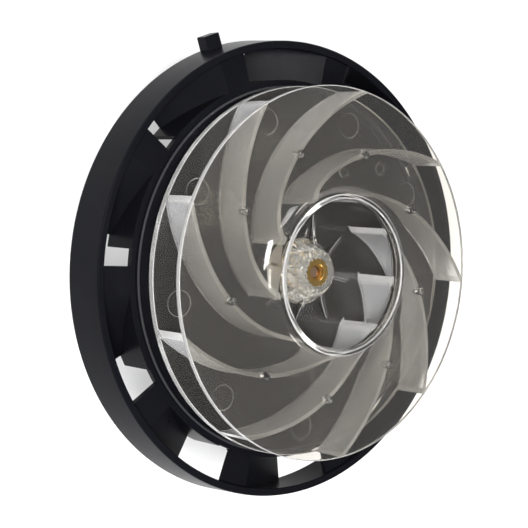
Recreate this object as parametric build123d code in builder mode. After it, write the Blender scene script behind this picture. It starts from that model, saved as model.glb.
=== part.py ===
from build123d import *
import math
import os

os.makedirs("parts", exist_ok=True)

# Vacuum motor unit, standing on the flat rear end of its motor.
# Z runs up the shaft from the rear face at zero to the impeller's eye.
# X points right and Y points up, seen from the inlet side, with the locating tab near the top.
# Lengths are in millimetres. Angles are in degrees, counted from X towards Y.

# Fits and gaps between pieces
seat_fit = 0.02
assembly_gap = 0.15
moving_gap = 0.3
cut_overrun = 1.0
coil_gap = 0.05
quarter_turn = 90.0
half_turn = 180.0

# Frame: rim
rim_front = 50.0
rim_front_radius = 75.0
rim_draft = 0.8
rim_depth = 14.9
rim_wall = 2.5
rim_edge_round = 0.5

# Frame: deck
deck_recess = 1.5
deck_thickness = 2.0
ridge_setback = 2.3
ridge_width = 0.8
boss_wall = 2.5
boss_height = 2.5
deck_rib_count = 10
deck_rib_height = 3.0
deck_rib_width = 1.6

# Frame: sloping air passages
passage_count = 10
passage_width = 10.2
first_lip_angle = 35.0
lip_bar_angle = 8.0
ramp_end_angle = 27.5
ramp_spans = 4
ramp_foot_gap = 0.7
guide_wall = 1.5
guide_end_angle = 31.0

# Frame: locating tab
tab_angle = 110.5
tab_width = 6.0
tab_height = 5.3
tab_front_drop = 9.6
tab_depth = 4.5

# Ball bearings, two alike
bearing_bore_radius = 2.5
bearing_outer_radius = 8.0
bearing_width = 5.0
ring_wall = 1.65
ball_radius = 1.3
ball_count = 8
groove_clearance = 0.06
cage_side_gap = 0.4
cage_pocket_clearance = 0.1
cage_back = 0.6
cage_front = 0.3

# Front bracket and its gasket
gasket_thickness = 0.6
gasket_border = 2.0
bracket_plate = 2.6
bracket_hub_wall = 2.2
bearing_recess = 0.1
bearing_lip = 1.2
bearing_lip_width = 2.4
skirt_wall = 1.85
skirt_depth = 5.3
ear_thickness = 3.0
ear_round = 4.3
ear_reach = 4.2

# Bracket screws
bracket_screw_count = 4
bracket_screw_angle = 45.0
bracket_screw_radius = 1.5
bracket_screw_clearance = 0.2
bracket_screw_head_radius = 2.8
bracket_screw_head_height = 2.0
bracket_screw_socket_radius = 1.3
bracket_screw_socket_depth = 1.1
screw_boss_wall = 2.1
screw_end_gap = 0.5
screw_bite = 0.6

# Motor can
can_wall = 1.2
can_rear = 16.5
can_rear_round = 1.5
can_bore_radius = 4.0
phase_hole_gap = 1.0

# Preload washer
washer_thickness = 0.5
washer_side_gap = 0.2

# Stator
tooth_count = 6
coil_overhang = 3.2
bracket_coil_gap = 0.6
stack_length = 14.0
stator_bore_radius = 13.0
stator_depth = 13.78
shoe_depth = 2.0
slot_opening = 3.0
tooth_width = 6.0
yoke_width = 3.8

# Insulators and coils
insulator_thickness = 0.8
insulator_border = 0.2
fence_thickness = 1.4
fence_setback = 0.6
inner_fence_width = 8.0
coil_side = 2.8
coil_clearance = 0.1
coil_round = 1.6
coil_end_gap = 0.6

# Phase pins
phase_count = 3
phase_angle = 90.0
phase_pin_radius = 0.6
phase_pin_stub = 0.6
phase_pin_hole_gap = 0.15

# Rotor
air_gap = 0.6
magnet_thickness = 3.4
magnet_count = 4
magnet_span = 84.0
balance_disc_thickness = 1.5
balance_disc_rim = 0.9
collar_radius = 4.0
shaft_rear_gap = 1.2
shaft_nose_radius = 2.0
shaft_shoulder = 2.4
shaft_end_drop = 1.6
shaft_chamfer = 0.3

# Impeller back plate
impeller_radius = 60.1
impeller_lift = 5.4
plate_thickness = 2.2
passage_height = 11.9
boss_radius = 7.5

# Hub
hub_base_radius = 10.5
hub_front_radius = 7.3
hub_height = 6.9
hub_round = 1.2
gusset_count = 8
gusset_angle = 35.0
gusset_reach = 18.5
gusset_thickness = 0.8
gusset_drop = 2.0
gusset_toe = 0.4
gusset_root = 1.0

# Blades
blade_count = 9
blade_angle = 155.2
blade_thickness = 1.35
spiral_slope_share = 0.676
blade_arcs = 3
blade_overrun = 1.5
blade_top_gap = 0.05
blade_root = 0.5

# Weld pins, ejector marks and gate marks
weld_pin_ring = 40.5
weld_pin_radius = 1.2
weld_pin_gap = 0.15
weld_pin_proud = 0.2
weld_pin_root = 1.5
mark_ring = 51.0
mark_angle = 111.0
mark_radius = 4.2
mark_depth = 0.15
gate_radius = 2.2
gate_height = 0.5
inner_gate_ring = 35.0
inner_gate_angle = 65.0
outer_gate_ring = 46.5
outer_gate_angle = 48.0

# Shroud
shroud_thickness = 1.8
eye_radius = 24.2
eye_wall = 1.6
eye_front_rise = 8.5
eye_flare_width = 9.0
eye_flare_height = 5.5
eye_edge_round = 0.5
shroud_edge_round = 0.3

# Hub insert
insert_radius = 4.85
insert_front_drop = 0.3
insert_scallops = 16
insert_scallop_radius = 0.6
insert_scallop_depth = 0.35
insert_mouth_radius = 2.75
insert_mouth_depth = 0.9

# Rear cover
cover_floor = 2.0
cover_wall = 1.8
cover_overlap = 4.0
cover_round = 3.0
cover_screw_setback = 4.8
cover_screw_count = 3
cover_screw_angle = 90.0
cover_screw_radius = 1.25
cover_screw_clearance = 0.15
cover_screw_head_radius = 2.3
cover_screw_head_height = 1.5
cover_head_gap = 0.1
cover_post_radius = 3.0
cover_post_height = 6.0
vent_count = 14
vent_start_angle = -50.0
vent_sweep = 280.0
vent_width = 2.0
vent_height = 6.5
vent_floor_gap = 1.5

# Rear rubber mount
rubber_radius = 20.0
rubber_thickness = 3.0
rubber_lip_gap = 0.2
rubber_lip_wall = 1.3
rubber_lip_height = 1.0
rubber_chamfer = 0.5
rubber_groove_depth = 1.0
rubber_groove_width = 2.0
rubber_groove_rings = (10.0, 15.0)

# Controller board and what is on it
board_thickness = 1.6
board_border = 0.65
transistor_count = 6
transistor_setback = 7.5
transistor_length = 4.2
transistor_width = 5.0
transistor_height = 1.6
chip_size = 7.0
chip_height = 1.2
capacitor_radius = 2.8
capacitor_length = 11.0
capacitor_spread = 6.5
capacitor_offset = 3.0
capacitor_round = 0.6
shunt_count = 3
shunt_setback = 6.0
shunt_start_angle = 140.0
shunt_sweep = 60.0
shunt_length = 2.5
shunt_width = 4.5
shunt_height = 0.9

# Connector
connector_width = 12.4
connector_height = 6.0
connector_wall = 0.8
connector_setback = 7.5
connector_reach = 4.55
connector_back = 1.6
connector_window_gap = 0.3
connector_pin_count = 4
connector_pin_pitch = 2.5
connector_pin_size = 0.8
connector_pin_recess = 5.0
connector_pin_tail = 2.4
connector_pin_stub = 0.6
connector_pin_hole_gap = 0.1
connector_edge_round = 0.5

# Heights that follow from the sizes above
rim_rear = rim_front - rim_depth
rim_rear_radius = rim_front_radius + rim_draft
deck_front = rim_front - deck_recess
deck_rear = deck_front - deck_thickness
gasket_rear = deck_rear - gasket_thickness
bracket_rear = gasket_rear - bracket_plate
front_bearing_rear = bracket_rear + bearing_recess
front_bearing_front = front_bearing_rear + bearing_width
bracket_hub_front = front_bearing_front + bearing_lip
skirt_rear = gasket_rear - bracket_plate - skirt_depth
ear_front = skirt_rear + ear_thickness
can_floor = can_rear + can_wall
rear_bearing_rear = can_floor + washer_thickness
rear_bearing_front = rear_bearing_rear + bearing_width
stack_front = bracket_rear - bracket_coil_gap - coil_overhang
stack_rear = stack_front - stack_length
insert_rear = front_bearing_front + bearing_lip + shaft_shoulder
plate_rear = rim_front + impeller_lift
plate_front = plate_rear + plate_thickness
hub_front = plate_front + hub_height
insert_front = hub_front - insert_front_drop
shroud_rear = plate_front + passage_height
shroud_front = shroud_rear + shroud_thickness
eye_front = shroud_rear + eye_front_rise
shaft_rear = rear_bearing_rear - shaft_rear_gap
shaft_end = insert_front - shaft_end_drop
cover_rear = rubber_thickness
cover_inside = cover_rear + cover_floor
board_rear = cover_inside + cover_post_height
board_front = board_rear + board_thickness
cover_front = can_rear + cover_overlap

# Radii that follow from the sizes above
passage_inner_radius = rim_front_radius - rim_wall - passage_width
ridge_radius = passage_inner_radius - ridge_setback
bearing_pitch_radius = (bearing_bore_radius + bearing_outer_radius) / 2
inner_ring_radius = bearing_bore_radius + ring_wall
outer_ring_radius = bearing_outer_radius - ring_wall
groove_radius = ball_radius + groove_clearance
bracket_hub_radius = bearing_outer_radius + bracket_hub_wall
bearing_lip_radius = bearing_outer_radius - bearing_lip_width
deck_bore_radius = bracket_hub_radius + moving_gap
stator_outer_radius = stator_bore_radius + stator_depth
can_inner_radius = stator_outer_radius + seat_fit
can_outer_radius = can_inner_radius + can_wall
skirt_inner_radius = can_outer_radius + assembly_gap
skirt_outer_radius = skirt_inner_radius + skirt_wall
screw_circle_radius = skirt_outer_radius + ear_reach
screw_boss_radius = bracket_screw_radius + screw_boss_wall
pocket_outer_radius = bearing_outer_radius + can_wall
cover_screw_ring = pocket_outer_radius + cover_screw_setback
yoke_inner_radius = stator_outer_radius - yoke_width
shoe_outer_radius = stator_bore_radius + shoe_depth
fence_inner_radius = stator_bore_radius + fence_setback
fence_outer_radius = yoke_inner_radius + fence_setback + fence_thickness
magnet_outer_radius = stator_bore_radius - air_gap
rotor_core_radius = magnet_outer_radius - magnet_thickness
shaft_fit_radius = bearing_bore_radius + seat_fit
hub_bore_radius = insert_radius + seat_fit
cover_inner_radius = can_outer_radius + assembly_gap
cover_outer_radius = cover_inner_radius + cover_wall
board_radius = cover_inner_radius - board_border
transistor_ring = board_radius - transistor_setback
shunt_ring = board_radius - shunt_setback
connector_inner_radius = board_radius - connector_setback
connector_outer_radius = cover_outer_radius + connector_reach
phase_ring = yoke_inner_radius + fence_setback + fence_thickness / 2
deck_rib_inner_radius = screw_circle_radius + screw_boss_radius + boss_wall
guide_inner_radius = passage_inner_radius - guide_wall


def upright(angle):
    """Plane through the shaft's axis, with its x outwards at the angle and its y up the shaft."""
    turn = math.radians(angle)
    outwards = (math.cos(turn), math.sin(turn), 0)
    across = (math.sin(turn), -math.cos(turn), 0)
    return Plane(origin=(0, 0, 0), x_dir=outwards, z_dir=across)


def around(radius, angle):
    """Point at a radius and an angle about the shaft's axis."""
    turn = math.radians(angle)
    return (radius * math.cos(turn), radius * math.sin(turn))


def blade_line_angle(radius):
    """Angle of the blade's middle line at a radius: a logarithmic spiral."""
    return blade_angle - math.degrees(math.log(radius / eye_radius) / spiral_slope_share)


def blade_point(radius, side):
    """Point of the blade's outline, half a thickness to one side of its middle line."""
    slant = math.hypot(1, spiral_slope_share)
    half = side * blade_thickness / 2
    outwards = radius + half / slant
    sideways = half * spiral_slope_share / slant
    turn = blade_line_angle(radius) + math.degrees(sideways / radius)
    return around(outwards, turn)


# Diffuser frame: one black moulding.
# Each passage has a flat bar behind its lip, a ramp down from the bar and a guide wall inside the ramp.
with BuildPart() as passage:
    ramp_drop = deck_front - rim_rear - ramp_foot_gap
    ramp_sweep = ramp_end_angle - lip_bar_angle
    ramp_outer_radius = rim_front_radius - rim_wall / 2
    ramp_inner_radius = passage_inner_radius - guide_wall / 2
    for span in range(-1, ramp_spans + 1):
        share = span / ramp_spans
        angle = lip_bar_angle + ramp_sweep * share if span >= 0 else 0
        front = deck_front - ramp_drop * max(share, 0)
        with BuildSketch(upright(angle)):
            with Locations(((ramp_inner_radius + ramp_outer_radius) / 2, front - deck_thickness / 2)):
                Rectangle(ramp_outer_radius - ramp_inner_radius, deck_thickness)
    loft(ruled=True)
    split(bisect_by=Plane.XY.offset(rim_rear), keep=Keep.TOP)
    with BuildSketch(Plane.XY.offset(rim_rear)):
        with BuildLine():
            guide_sweep = guide_end_angle - lip_bar_angle
            CenterArc((0, 0), guide_inner_radius, lip_bar_angle, guide_sweep)
            CenterArc((0, 0), passage_inner_radius, lip_bar_angle, guide_sweep)
            Line(around(guide_inner_radius, lip_bar_angle), around(passage_inner_radius, lip_bar_angle))
            Line(around(guide_inner_radius, guide_end_angle), around(passage_inner_radius, guide_end_angle))
        make_face()
    extrude(amount=deck_front - rim_rear)

with BuildPart() as diffuser_frame:
    with BuildSketch(Plane.XZ):
        with BuildLine():
            Polyline(
                (rim_front_radius - rim_wall, rim_front),
                (rim_front_radius, rim_front),
                (rim_rear_radius, rim_rear),
                (rim_rear_radius - rim_wall, rim_rear),
                close=True,
            )
        make_face()
        fillet(vertices(), radius=rim_edge_round)
    revolve(axis=Axis.Z)
    with BuildSketch(Plane.XY.offset(deck_rear)):
        Circle(passage_inner_radius)
    extrude(amount=deck_thickness)
    with BuildSketch(Plane.XY.offset(deck_front)):
        Circle(ridge_radius + ridge_width / 2)
        Circle(ridge_radius - ridge_width / 2, mode=Mode.SUBTRACT)
    extrude(amount=deck_recess)
    with BuildSketch(Plane.XY.offset(deck_front)):
        Circle(deck_bore_radius + boss_wall)
    extrude(amount=boss_height)
    with PolarLocations(0, passage_count, first_lip_angle):
        add(passage.part)
    # Stiffening ribs on the rear of the deck, one behind each lip bar
    rib_length = passage_inner_radius - guide_wall / 2 - deck_rib_inner_radius
    with Locations((0, 0, deck_rear)):
        with PolarLocations(
            deck_rib_inner_radius + rib_length / 2, deck_rib_count, first_lip_angle + lip_bar_angle / 2
        ):
            Box(rib_length, deck_rib_width, deck_rib_height, align=(Align.CENTER, Align.CENTER, Align.MAX))
    # Screw bosses behind the deck, with blind pilot holes
    with Locations((0, 0, ear_front)):
        with PolarLocations(screw_circle_radius, bracket_screw_count, bracket_screw_angle):
            Cylinder(
                screw_boss_radius,
                deck_rear - ear_front,
                align=(Align.CENTER, Align.CENTER, Align.MIN),
            )
            Cylinder(
                bracket_screw_radius + seat_fit,
                deck_rear - ear_front + screw_bite,
                align=(Align.CENTER, Align.CENTER, Align.MIN),
                mode=Mode.SUBTRACT,
            )
    # Bore for the bracket's bearing hub
    with Locations((0, 0, deck_rear - cut_overrun)):
        Cylinder(
            deck_bore_radius,
            deck_thickness + boss_height + 2 * cut_overrun,
            align=(Align.CENTER, Align.CENTER, Align.MIN),
            mode=Mode.SUBTRACT,
        )
    # Locating tab on the outside of the rim
    with Locations((0, 0, rim_front - tab_front_drop)):
        with PolarLocations(rim_front_radius - rim_wall / 2 + (tab_height + rim_wall / 2) / 2, 1, tab_angle):
            Box(
                tab_height + rim_wall / 2,
                tab_width,
                tab_depth,
                align=(Align.CENTER, Align.CENTER, Align.MAX),
            )
diffuser_frame.part.label = "diffuser_frame"
export_step(diffuser_frame.part, "parts/diffuser_frame.step")

# Motor gasket: a soft ring clamped between the deck and the front bracket.
with BuildPart() as motor_gasket:
    with BuildSketch(Plane.XY.offset(gasket_rear)):
        Circle(skirt_outer_radius - gasket_border)
        Circle(deck_bore_radius + gasket_border, mode=Mode.SUBTRACT)
    extrude(amount=gasket_thickness)
motor_gasket.part.label = "motor_gasket"
export_step(motor_gasket.part, "parts/motor_gasket.step")

# Front bracket: die-cast end bell with the front bearing's pocket, a skirt round the can and four ears.
with BuildPart() as front_bracket:
    with BuildSketch(Plane.XZ):
        with BuildLine():
            Polyline(
                (bearing_lip_radius, bracket_hub_front),
                (bracket_hub_radius, bracket_hub_front),
                (bracket_hub_radius, gasket_rear),
                (skirt_outer_radius, gasket_rear),
                (skirt_outer_radius, skirt_rear),
                (skirt_inner_radius, skirt_rear),
                (skirt_inner_radius, bracket_rear),
                (bearing_outer_radius, bracket_rear),
                (bearing_outer_radius, front_bearing_front),
                (bearing_lip_radius, front_bearing_front),
                close=True,
            )
        make_face()
    revolve(axis=Axis.Z)
    with BuildSketch(Plane.XY.offset(skirt_rear)):
        with PolarLocations(screw_circle_radius, bracket_screw_count, bracket_screw_angle):
            Circle(ear_round)
        with PolarLocations(
            (skirt_inner_radius + screw_circle_radius) / 2, bracket_screw_count, bracket_screw_angle
        ):
            Rectangle(screw_circle_radius - skirt_inner_radius, 2 * ear_round)
        Circle(skirt_inner_radius, mode=Mode.SUBTRACT)
        with PolarLocations(screw_circle_radius, bracket_screw_count, bracket_screw_angle):
            Circle(bracket_screw_radius + bracket_screw_clearance, mode=Mode.SUBTRACT)
    extrude(amount=ear_thickness)
front_bracket.part.label = "front_bracket"
export_step(front_bracket.part, "parts/front_bracket.step")

# Bracket screws: four cap screws from behind, through the ears into the frame's bosses.
with BuildPart() as bracket_screws:
    with Locations((0, 0, skirt_rear)):
        with PolarLocations(screw_circle_radius, bracket_screw_count, bracket_screw_angle):
            Cylinder(
                bracket_screw_head_radius,
                bracket_screw_head_height,
                align=(Align.CENTER, Align.CENTER, Align.MAX),
            )
            Cylinder(
                bracket_screw_radius,
                deck_rear - skirt_rear + screw_bite - screw_end_gap,
                align=(Align.CENTER, Align.CENTER, Align.MIN),
            )
    with Locations((0, 0, skirt_rear - bracket_screw_head_height)):
        with PolarLocations(screw_circle_radius, bracket_screw_count, bracket_screw_angle):
            Cylinder(
                bracket_screw_socket_radius,
                bracket_screw_socket_depth,
                align=(Align.CENTER, Align.CENTER, Align.MIN),
                mode=Mode.SUBTRACT,
            )
bracket_screws.part.label = "bracket_screws"
export_step(bracket_screws.part, "parts/bracket_screws.step")

# Motor can: drawn steel cup with the rear bearing's pocket in its floor.
with BuildPart() as motor_can:
    with BuildSketch(Plane.XZ):
        with BuildLine():
            Polyline(
                (can_bore_radius, can_rear),
                (can_outer_radius, can_rear),
                (can_outer_radius, bracket_rear),
                (can_inner_radius, bracket_rear),
                (can_inner_radius, can_floor),
                (pocket_outer_radius, can_floor),
                (pocket_outer_radius, rear_bearing_front),
                (bearing_outer_radius, rear_bearing_front),
                (bearing_outer_radius, can_floor),
                (can_bore_radius, can_floor),
                close=True,
            )
        make_face()
        fillet(vertices().group_by(Axis.Y)[0].sort_by(Axis.X)[-1], radius=can_rear_round)
    revolve(axis=Axis.Z)
    with Locations((0, 0, can_rear - cut_overrun)):
        with PolarLocations(cover_screw_ring, cover_screw_count, cover_screw_angle):
            Cylinder(
                cover_screw_radius + seat_fit,
                can_wall + 2 * cut_overrun,
                align=(Align.CENTER, Align.CENTER, Align.MIN),
                mode=Mode.SUBTRACT,
            )
        with PolarLocations(phase_ring, phase_count, phase_angle):
            Cylinder(
                phase_pin_radius + phase_hole_gap,
                can_wall + 2 * cut_overrun,
                align=(Align.CENTER, Align.CENTER, Align.MIN),
                mode=Mode.SUBTRACT,
            )
motor_can.part.label = "motor_can"
export_step(motor_can.part, "parts/motor_can.step")

# Stator core: stacked steel sheets with a yoke and six teeth with shoes.
with BuildPart() as stator_core:
    with BuildSketch(Plane.XY.offset(stack_rear)):
        Circle(stator_outer_radius)
        Circle(yoke_inner_radius, mode=Mode.SUBTRACT)
        Circle(shoe_outer_radius)
        with PolarLocations(
            (stator_bore_radius + shoe_outer_radius) / 2, tooth_count, 360 / tooth_count / 2
        ):
            Rectangle(2 * shoe_depth, slot_opening, mode=Mode.SUBTRACT)
        with PolarLocations((stator_bore_radius + yoke_inner_radius + shoe_depth) / 2, tooth_count):
            Rectangle(yoke_inner_radius - stator_bore_radius, tooth_width)
        Circle(stator_bore_radius, mode=Mode.SUBTRACT)
    extrude(amount=stack_length)
stator_core.part.label = "stator_core"
export_step(stator_core.part, "parts/stator_core.step")

# Insulators: a plastic end frame on each face of the stack, with a fence outside and inside the coils.
insulator_height = coil_overhang - fence_setback
for place, stack_face, way in (("front", stack_front, 1), ("rear", stack_rear, -1)):
    with BuildPart() as insulator:
        with BuildSketch(Plane.XY.offset(stack_face)):
            Circle(fence_outer_radius)
            Circle(yoke_inner_radius, mode=Mode.SUBTRACT)
            with PolarLocations((fence_inner_radius + yoke_inner_radius + fence_setback) / 2, tooth_count):
                Rectangle(
                    yoke_inner_radius + fence_setback - fence_inner_radius,
                    tooth_width + 2 * insulator_border,
                )
        extrude(amount=way * insulator_thickness)
        with BuildSketch(Plane.XY.offset(stack_face)):
            Circle(fence_outer_radius)
            Circle(fence_outer_radius - fence_thickness, mode=Mode.SUBTRACT)
            with PolarLocations(fence_inner_radius + fence_thickness / 2, tooth_count):
                Rectangle(fence_thickness, inner_fence_width)
        extrude(amount=way * insulator_height)
    insulator.part.label = f"{place}_insulator"
    export_step(insulator.part, f"parts/{place}_insulator.step")

# Stator coils: six wound bundles, one on each tooth, outside the insulators' pads.
with BuildPart() as coil:
    coil_inner_radius = fence_inner_radius + fence_thickness + coil_end_gap
    coil_hole_width = tooth_width + 2 * insulator_border + 2 * coil_clearance
    coil_half_width = coil_hole_width / 2 + coil_side
    coil_outer_radius = math.sqrt(yoke_inner_radius**2 - coil_half_width**2) - coil_clearance
    coil_hole_height = stack_length + 2 * insulator_thickness + 2 * coil_gap
    coil_plane = Plane(
        origin=(coil_inner_radius, 0, (stack_front + stack_rear) / 2), x_dir=(0, 1, 0), z_dir=(1, 0, 0)
    )
    with BuildSketch(coil_plane):
        RectangleRounded(
            2 * coil_half_width,
            stack_length + 2 * coil_overhang,
            coil_round,
        )
        Rectangle(coil_hole_width, coil_hole_height, mode=Mode.SUBTRACT)
    extrude(amount=coil_outer_radius - coil_inner_radius)
with BuildPart() as stator_coils:
    with PolarLocations(0, tooth_count):
        add(coil.part)
stator_coils.part.label = "stator_coils"
export_step(stator_coils.part, "parts/stator_coils.step")

# Phase pins: three wires' end posts, from the rear insulator through the can's floor to the board.
with BuildPart() as phase_pins:
    with Locations((0, 0, board_rear - phase_pin_stub)):
        with PolarLocations(phase_ring, phase_count, phase_angle):
            Cylinder(
                phase_pin_radius,
                stack_rear - insulator_height - board_rear + phase_pin_stub,
                align=(Align.CENTER, Align.CENTER, Align.MIN),
            )
phase_pins.part.label = "phase_pins"
export_step(phase_pins.part, "parts/phase_pins.step")

# Ball bearings: the same bearing in the bracket's hub and in the can's floor.
for place, bearing_rear in (("front", front_bearing_rear), ("rear", rear_bearing_rear)):
    bearing_middle = bearing_rear + bearing_width / 2
    with BuildPart() as outer_ring:
        with BuildSketch(Plane.XZ):
            with Locations(((outer_ring_radius + bearing_outer_radius - seat_fit) / 2, bearing_middle)):
                Rectangle(bearing_outer_radius - seat_fit - outer_ring_radius, bearing_width)
            with Locations((bearing_pitch_radius, bearing_middle)):
                Circle(groove_radius, mode=Mode.SUBTRACT)
        revolve(axis=Axis.Z)
    outer_ring.part.label = f"{place}_bearing_outer_ring"
    export_step(outer_ring.part, f"parts/{place}_bearing_outer_ring.step")

    with BuildPart() as inner_ring:
        with BuildSketch(Plane.XZ):
            with Locations(((shaft_fit_radius + inner_ring_radius) / 2, bearing_middle)):
                Rectangle(inner_ring_radius - shaft_fit_radius, bearing_width)
            with Locations((bearing_pitch_radius, bearing_middle)):
                Circle(groove_radius, mode=Mode.SUBTRACT)
        revolve(axis=Axis.Z)
    inner_ring.part.label = f"{place}_bearing_inner_ring"
    export_step(inner_ring.part, f"parts/{place}_bearing_inner_ring.step")

    with BuildPart() as balls:
        with Locations((0, 0, bearing_middle)):
            with PolarLocations(bearing_pitch_radius, ball_count):
                Sphere(ball_radius)
    balls.part.label = f"{place}_bearing_balls"
    export_step(balls.part, f"parts/{place}_bearing_balls.step")

    with BuildPart() as cage:
        with BuildSketch(Plane.XY.offset(bearing_middle - ball_radius - cage_back)):
            Circle(outer_ring_radius - cage_side_gap)
            Circle(inner_ring_radius + cage_side_gap, mode=Mode.SUBTRACT)
        extrude(amount=ball_radius + cage_back + cage_front)
        with Locations((0, 0, bearing_middle)):
            with PolarLocations(bearing_pitch_radius, ball_count):
                Sphere(ball_radius + cage_pocket_clearance, mode=Mode.SUBTRACT)
    cage.part.label = f"{place}_bearing_cage"
    export_step(cage.part, f"parts/{place}_bearing_cage.step")

# Preload washer: a spring washer pressed flat between the can's floor and the rear bearing's outer ring.
with BuildPart() as preload_washer:
    with BuildSketch(Plane.XY.offset(can_floor)):
        Circle(bearing_outer_radius - washer_side_gap)
        Circle(outer_ring_radius + washer_side_gap, mode=Mode.SUBTRACT)
    extrude(amount=washer_thickness)
preload_washer.part.label = "preload_washer"
export_step(preload_washer.part, "parts/preload_washer.step")

# Motor shaft: ground steel, stepped down where the impeller's insert is pressed on.
with BuildPart() as motor_shaft:
    with BuildSketch(Plane.XZ):
        with BuildLine():
            Polyline(
                (0, shaft_rear),
                (bearing_bore_radius - shaft_chamfer, shaft_rear),
                (bearing_bore_radius, shaft_rear + shaft_chamfer),
                (bearing_bore_radius, insert_rear),
                (shaft_nose_radius, insert_rear),
                (shaft_nose_radius, shaft_end - shaft_chamfer),
                (shaft_nose_radius - shaft_chamfer, shaft_end),
                (0, shaft_end),
                close=True,
            )
        make_face()
    revolve(axis=Axis.Z)
motor_shaft.part.label = "motor_shaft"
export_step(motor_shaft.part, "parts/motor_shaft.step")

# Rotor core: stacked steel sheets pressed on the shaft.
with BuildPart() as rotor_core:
    with BuildSketch(Plane.XY.offset(stack_rear)):
        Circle(rotor_core_radius)
        Circle(shaft_fit_radius, mode=Mode.SUBTRACT)
    extrude(amount=stack_length)
rotor_core.part.label = "rotor_core"
export_step(rotor_core.part, "parts/rotor_core.step")

# Rotor magnets: four curved magnets glued round the core.
with BuildPart() as magnet:
    with BuildSketch(Plane.XY.offset(stack_rear)):
        with BuildLine():
            magnet_inner_radius = rotor_core_radius + seat_fit
            CenterArc((0, 0), magnet_inner_radius, 0, magnet_span)
            CenterArc((0, 0), magnet_outer_radius, 0, magnet_span)
            Line(around(magnet_inner_radius, 0), around(magnet_outer_radius, 0))
            Line(around(magnet_inner_radius, magnet_span), around(magnet_outer_radius, magnet_span))
        make_face()
    extrude(amount=stack_length)
with BuildPart() as rotor_magnets:
    with PolarLocations(0, magnet_count):
        add(magnet.part)
rotor_magnets.part.label = "rotor_magnets"
export_step(rotor_magnets.part, "parts/rotor_magnets.step")

# Balance discs: one at each end of the core, each with a collar that reaches the bearing's inner ring.
for place, disc_rear, collar_rear, collar_front in (
    ("front", stack_front, stack_front, front_bearing_rear),
    ("rear", stack_rear - balance_disc_thickness, rear_bearing_front, stack_rear),
):
    with BuildPart() as balance_disc:
        with BuildSketch(Plane.XY.offset(disc_rear)):
            Circle(magnet_outer_radius - balance_disc_rim)
        extrude(amount=balance_disc_thickness)
        with BuildSketch(Plane.XY.offset(collar_rear)):
            Circle(collar_radius)
        extrude(amount=collar_front - collar_rear)
        with BuildSketch(Plane.XY.offset(collar_rear - cut_overrun)):
            Circle(shaft_fit_radius)
        extrude(amount=collar_front - collar_rear + 2 * cut_overrun, mode=Mode.SUBTRACT)
    balance_disc.part.label = f"{place}_balance_disc"
    export_step(balance_disc.part, f"parts/{place}_balance_disc.step")

# Impeller spacer: a sleeve on the shaft between the front bearing's inner ring and the insert.
with BuildPart() as impeller_spacer:
    with BuildSketch(Plane.XY.offset(front_bearing_front)):
        Circle(collar_radius)
        Circle(shaft_fit_radius, mode=Mode.SUBTRACT)
    extrude(amount=insert_rear - front_bearing_front)
impeller_spacer.part.label = "impeller_spacer"
export_step(impeller_spacer.part, "parts/impeller_spacer.step")

# Hub insert: knurled brass bush moulded into the impeller's hub and pressed on the shaft's nose.
with BuildPart() as hub_insert:
    with BuildSketch(Plane.XY.offset(insert_rear)):
        Circle(insert_radius)
        with PolarLocations(insert_radius + insert_scallop_radius - insert_scallop_depth, insert_scallops):
            Circle(insert_scallop_radius, mode=Mode.SUBTRACT)
        Circle(shaft_nose_radius + seat_fit, mode=Mode.SUBTRACT)
    extrude(amount=insert_front - insert_rear)
    with Locations((0, 0, insert_front)):
        Cone(
            shaft_nose_radius + seat_fit,
            insert_mouth_radius,
            insert_mouth_depth,
            align=(Align.CENTER, Align.CENTER, Align.MAX),
            mode=Mode.SUBTRACT,
        )
hub_insert.part.label = "hub_insert"
export_step(hub_insert.part, "parts/hub_insert.step")

# Impeller blade: an upright strip along a logarithmic spiral, trimmed to the passage under the shroud.
with BuildPart() as blade:
    blade_start = eye_radius - blade_overrun
    blade_end = impeller_radius + blade_overrun
    blade_growth = (blade_end / blade_start) ** (1 / (2 * blade_arcs))
    blade_radii = [blade_start * blade_growth**step for step in range(2 * blade_arcs + 1)]
    with BuildSketch(Plane.XY.offset(plate_front - blade_root)):
        with BuildLine():
            for side in (-1, 1):
                for arc in range(blade_arcs):
                    ThreePointArc(
                        blade_point(blade_radii[2 * arc], side),
                        blade_point(blade_radii[2 * arc + 1], side),
                        blade_point(blade_radii[2 * arc + 2], side),
                    )
            Line(blade_point(blade_start, -1), blade_point(blade_start, 1))
            Line(blade_point(blade_end, -1), blade_point(blade_end, 1))
        make_face()
    extrude(amount=eye_front - plate_front + blade_root)
    with BuildSketch(Plane.XZ):
        with BuildLine():
            flare_width = eye_flare_width + blade_top_gap
            flare_height = eye_flare_height + blade_top_gap
            flare_centre = (eye_radius + eye_flare_width, shroud_rear + eye_flare_height)
            flare = EllipticalCenterArc(flare_centre, flare_width, flare_height, half_turn, arc_size=quarter_turn)
            Polyline(
                flare @ 0,
                ((flare @ 0).X, plate_front - blade_root),
                (impeller_radius, plate_front - blade_root),
                (impeller_radius, shroud_rear - blade_top_gap),
                flare @ 1,
            )
        make_face()
    revolve(axis=Axis.Z, mode=Mode.INTERSECT)

# Hub gusset: a thin upright fin from the hub's cone down to the plate.
with BuildPart() as gusset:
    with BuildSketch(Plane.XZ):
        with BuildLine():
            Polyline(
                (hub_front_radius - gusset_root, plate_front - blade_root),
                (gusset_reach, plate_front - blade_root),
                (gusset_reach, plate_front + gusset_toe),
                (hub_front_radius, hub_front - gusset_drop),
                (hub_front_radius - gusset_root, hub_front - gusset_drop),
                close=True,
            )
        make_face()
    extrude(amount=gusset_thickness / 2, both=True)

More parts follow.
